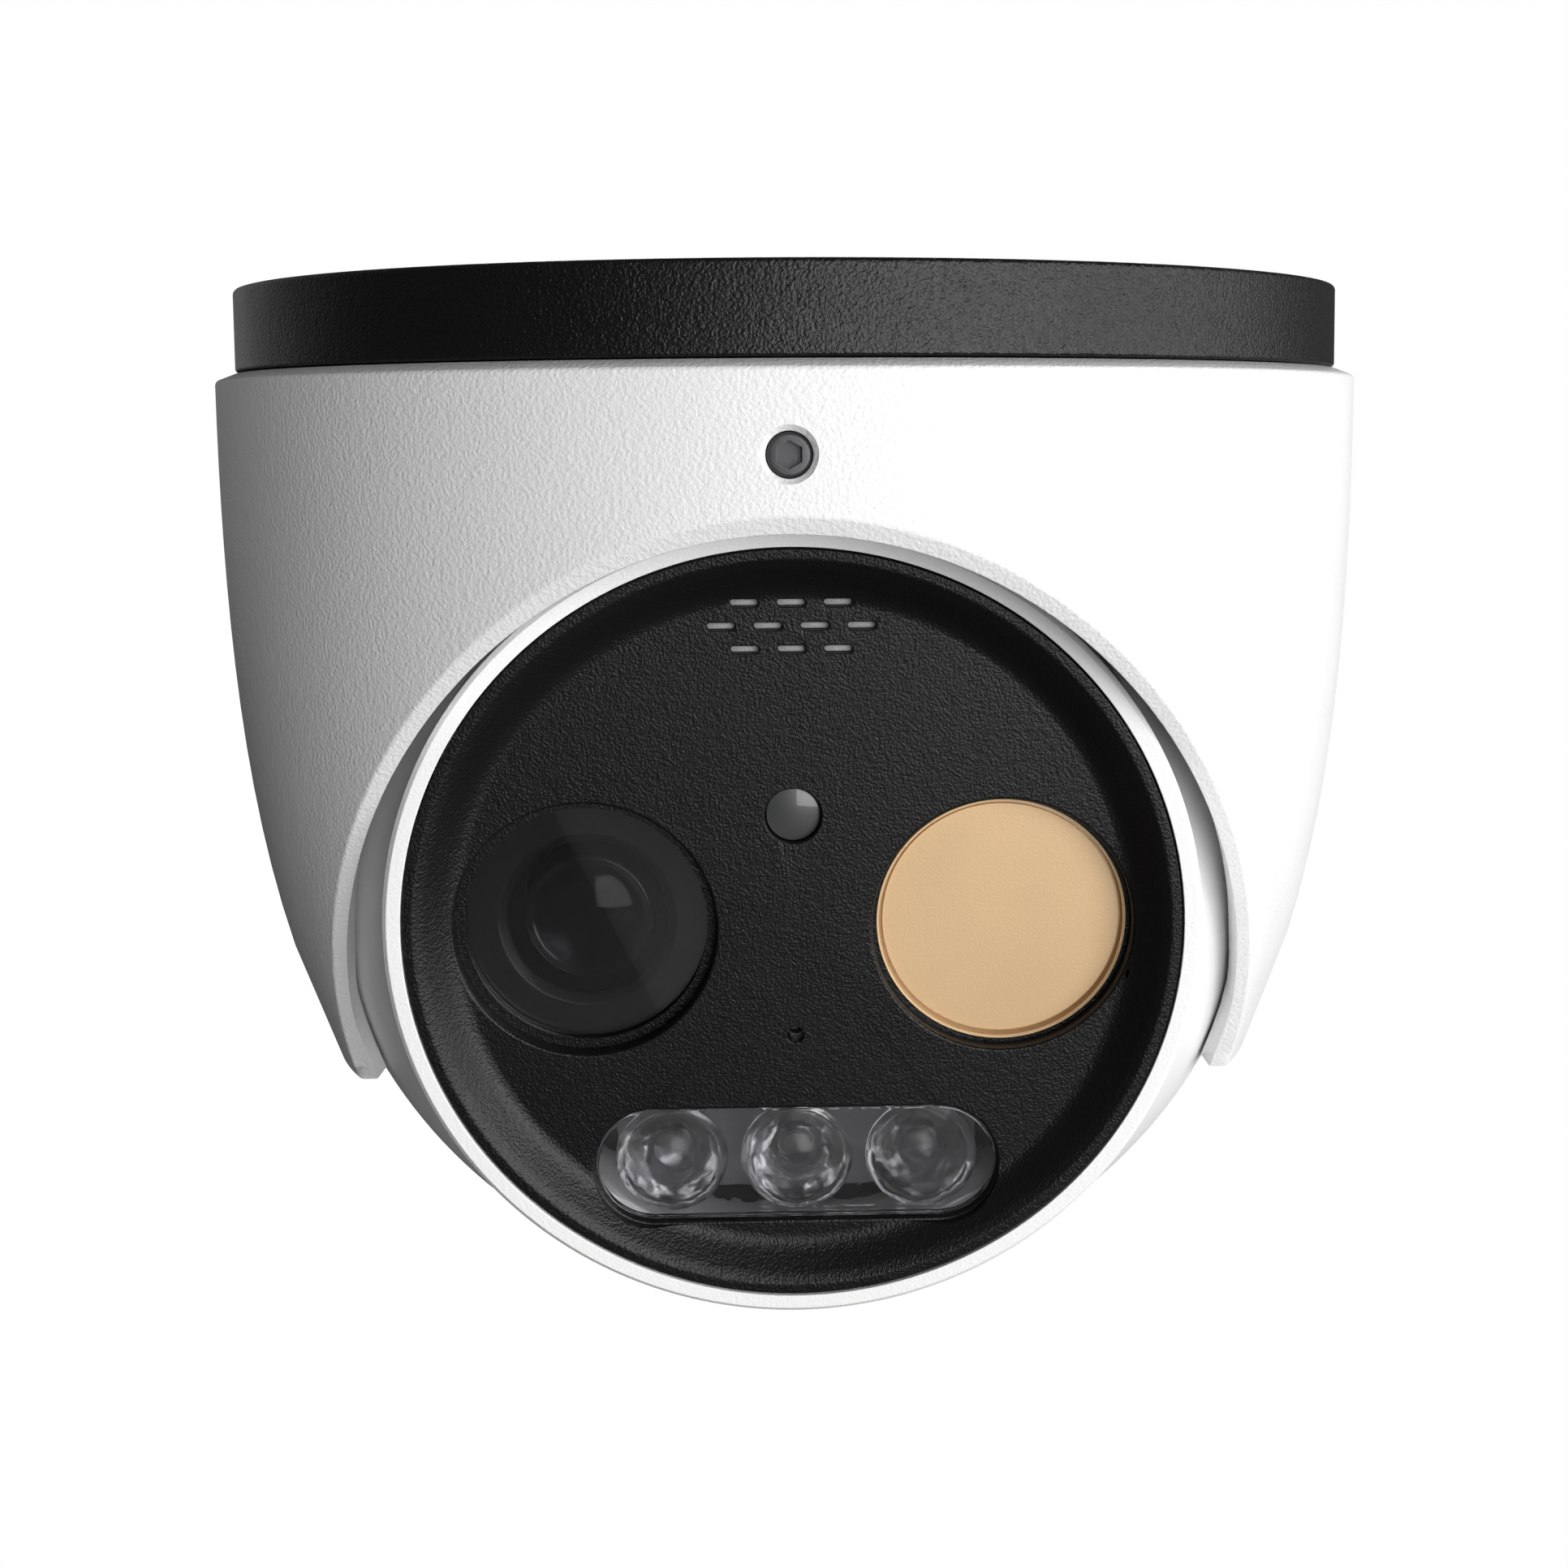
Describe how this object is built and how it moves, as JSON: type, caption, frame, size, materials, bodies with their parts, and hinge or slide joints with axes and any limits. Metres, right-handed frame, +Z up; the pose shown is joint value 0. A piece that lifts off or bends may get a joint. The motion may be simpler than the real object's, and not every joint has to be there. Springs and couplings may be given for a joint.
{
  "type": "ceiling turret security camera",
  "caption": "Ceiling turret camera: black base, white panning shell, tilting ball with a turning face of lens window, gold infrared window, lamp strip and speaker slots.",
  "frame": {"origin": "centre of the base's face that meets the ceiling", "axes": "+Z up, out of the ceiling face; the camera's face looks along -Y, tilted 6.7 degrees down; +X to the right when facing the camera's face"},
  "size_m": [0.122, 0.122, 0.1095],
  "materials": {
    "base_black": "fine wrinkle, satin",
    "shell_white": "fine textured powder coat",
    "ball_white": "fine textured powder coat",
    "bezel_white": "fine textured powder coat",
    "ring_black": "matt",
    "panel_black": "fine grain",
    "dark_plastic": "matt",
    "rubber_black": "matt",
    "steel": "bright",
    "dark_steel": "blackened",
    "pad_nylon": "matt",
    "window_glass": "polished",
    "germanium_gold": "coated",
    "lens_glass": "coated",
    "lamp_window": "smoked",
    "optic_clear": "clear",
    "sensor_lens": "polished",
    "aluminium": "as cast",
    "board_green": "solder mask",
    "board_white": "solder mask",
    "chip_black": "moulded",
    "led_yellow": "dome",
    "copper": "enamelled wire",
    "filter_red": "coated",
    "brass": "machined",
    "button_red": "moulded"
  },
  "bodies": {
    "base": {"mounting_base": "base_black", "base_gasket": "rubber_black", "cable_grommet": "rubber_black", "pan_ring": "ring_black", "pan_ring_screws": "steel"},
    "turret": {"turret_shell": "shell_white", "pivot_ring": "ring_black", "pivot_ring_screws": "steel"},
    "pad": {"brake_pad": "pad_nylon"},
    "set_screw": {"lock_screw": "dark_steel"},
    "ball": {"ball_front_shell": "ball_white", "ball_rear_shell": "ball_white", "pivot_pins": "steel", "ball_screws": "steel", "ball_grommet": "rubber_black"},
    "filter": {"ir_cut_filter": "filter_red"},
    "shutter": {"shutter_flag": "dark_steel"},
    "button": {"reset_button": "button_red"},
    "head": {"head_housing": "bezel_white", "head_clip": "steel", "panel_gasket": "rubber_black", "front_panel": "panel_black", "visible_window": "window_glass", "thermal_window": "germanium_gold", "lens_shield": "dark_plastic", "lens_barrel": "dark_plastic", "front_lens": "lens_glass", "rear_lens": "lens_glass", "lens_holder": "dark_plastic", "filter_coil": "copper", "image_sensor": "chip_black", "sensor_board": "board_green", "thermal_lens_barrel": "dark_plastic", "thermal_lens": "dark_steel", "thermal_core": "aluminium", "shutter_motor": "dark_steel", "front_board": "board_green", "light_sensor": "chip_black", "light_sensor_window": "sensor_lens", "microphone": "steel", "mic_boot": "rubber_black", "speaker_frame": "dark_plastic", "speaker_cone": "dark_plastic", "speaker_magnet": "steel", "grille_mesh": "dark_steel", "led_window": "lamp_window", "led_optics": "optic_clear", "led_emitters": "led_yellow", "led_board": "board_white", "inner_chassis": "dark_plastic", "chassis_screws": "steel", "board_standoffs": "brass", "main_board": "board_green", "processor_chip": "chip_black", "heat_spreader": "aluminium", "rear_cover": "dark_plastic", "rear_gasket": "rubber_black", "rear_cover_screws": "steel", "head_grommet": "rubber_black"}
  },
  "joints": [
    {"name": "pan", "type": "hinge", "parent": "base", "child": "turret", "pos_m": [0, 0, -0.011], "axis": [0, 0, 1], "range_deg": [-180, 180]},
    {"name": "tilt", "type": "hinge", "parent": "turret", "child": "ball", "pos_m": [0, 0, -0.0572], "axis": [1, 0, 0], "range_deg": [-2, 78]},
    {"name": "rotate", "type": "hinge", "parent": "ball", "child": "head", "pos_m": [0, 0, -0.0572], "axis": [0, -0.9932, -0.1167], "range_deg": [-180, 180]},
    {"name": "pad_travel", "type": "slide", "parent": "turret", "child": "pad", "axis": [0, 1, 0], "range_m": [0, 0.0003]},
    {"name": "lock_turn", "type": "hinge", "parent": "pad", "child": "set_screw", "pos_m": [0, -0.058, -0.0169], "axis": [0, 1, 0], "range_deg": [0, 154.29]},
    {"name": "filter_slide", "type": "slide", "parent": "head", "child": "filter", "axis": [0, 0.1167, -0.9932], "range_m": [0, 0.0075]},
    {"name": "shutter_swing", "type": "hinge", "parent": "head", "child": "shutter", "pos_m": [0.02, -0.02332, -0.07555], "axis": [0, 0.9932, 0.1167], "range_deg": [0, 75]},
    {"name": "button_press", "type": "slide", "parent": "head", "child": "button", "axis": [0, -0.9932, -0.1167], "range_m": [0, 0.0008], "stiffness_N_per_m": 400, "springref_m": -0.0004}
  ],
  "couplings": [
    {"joint": "lock_turn", "follows": "pad_travel", "rad_per_m": 8976}
  ]
}
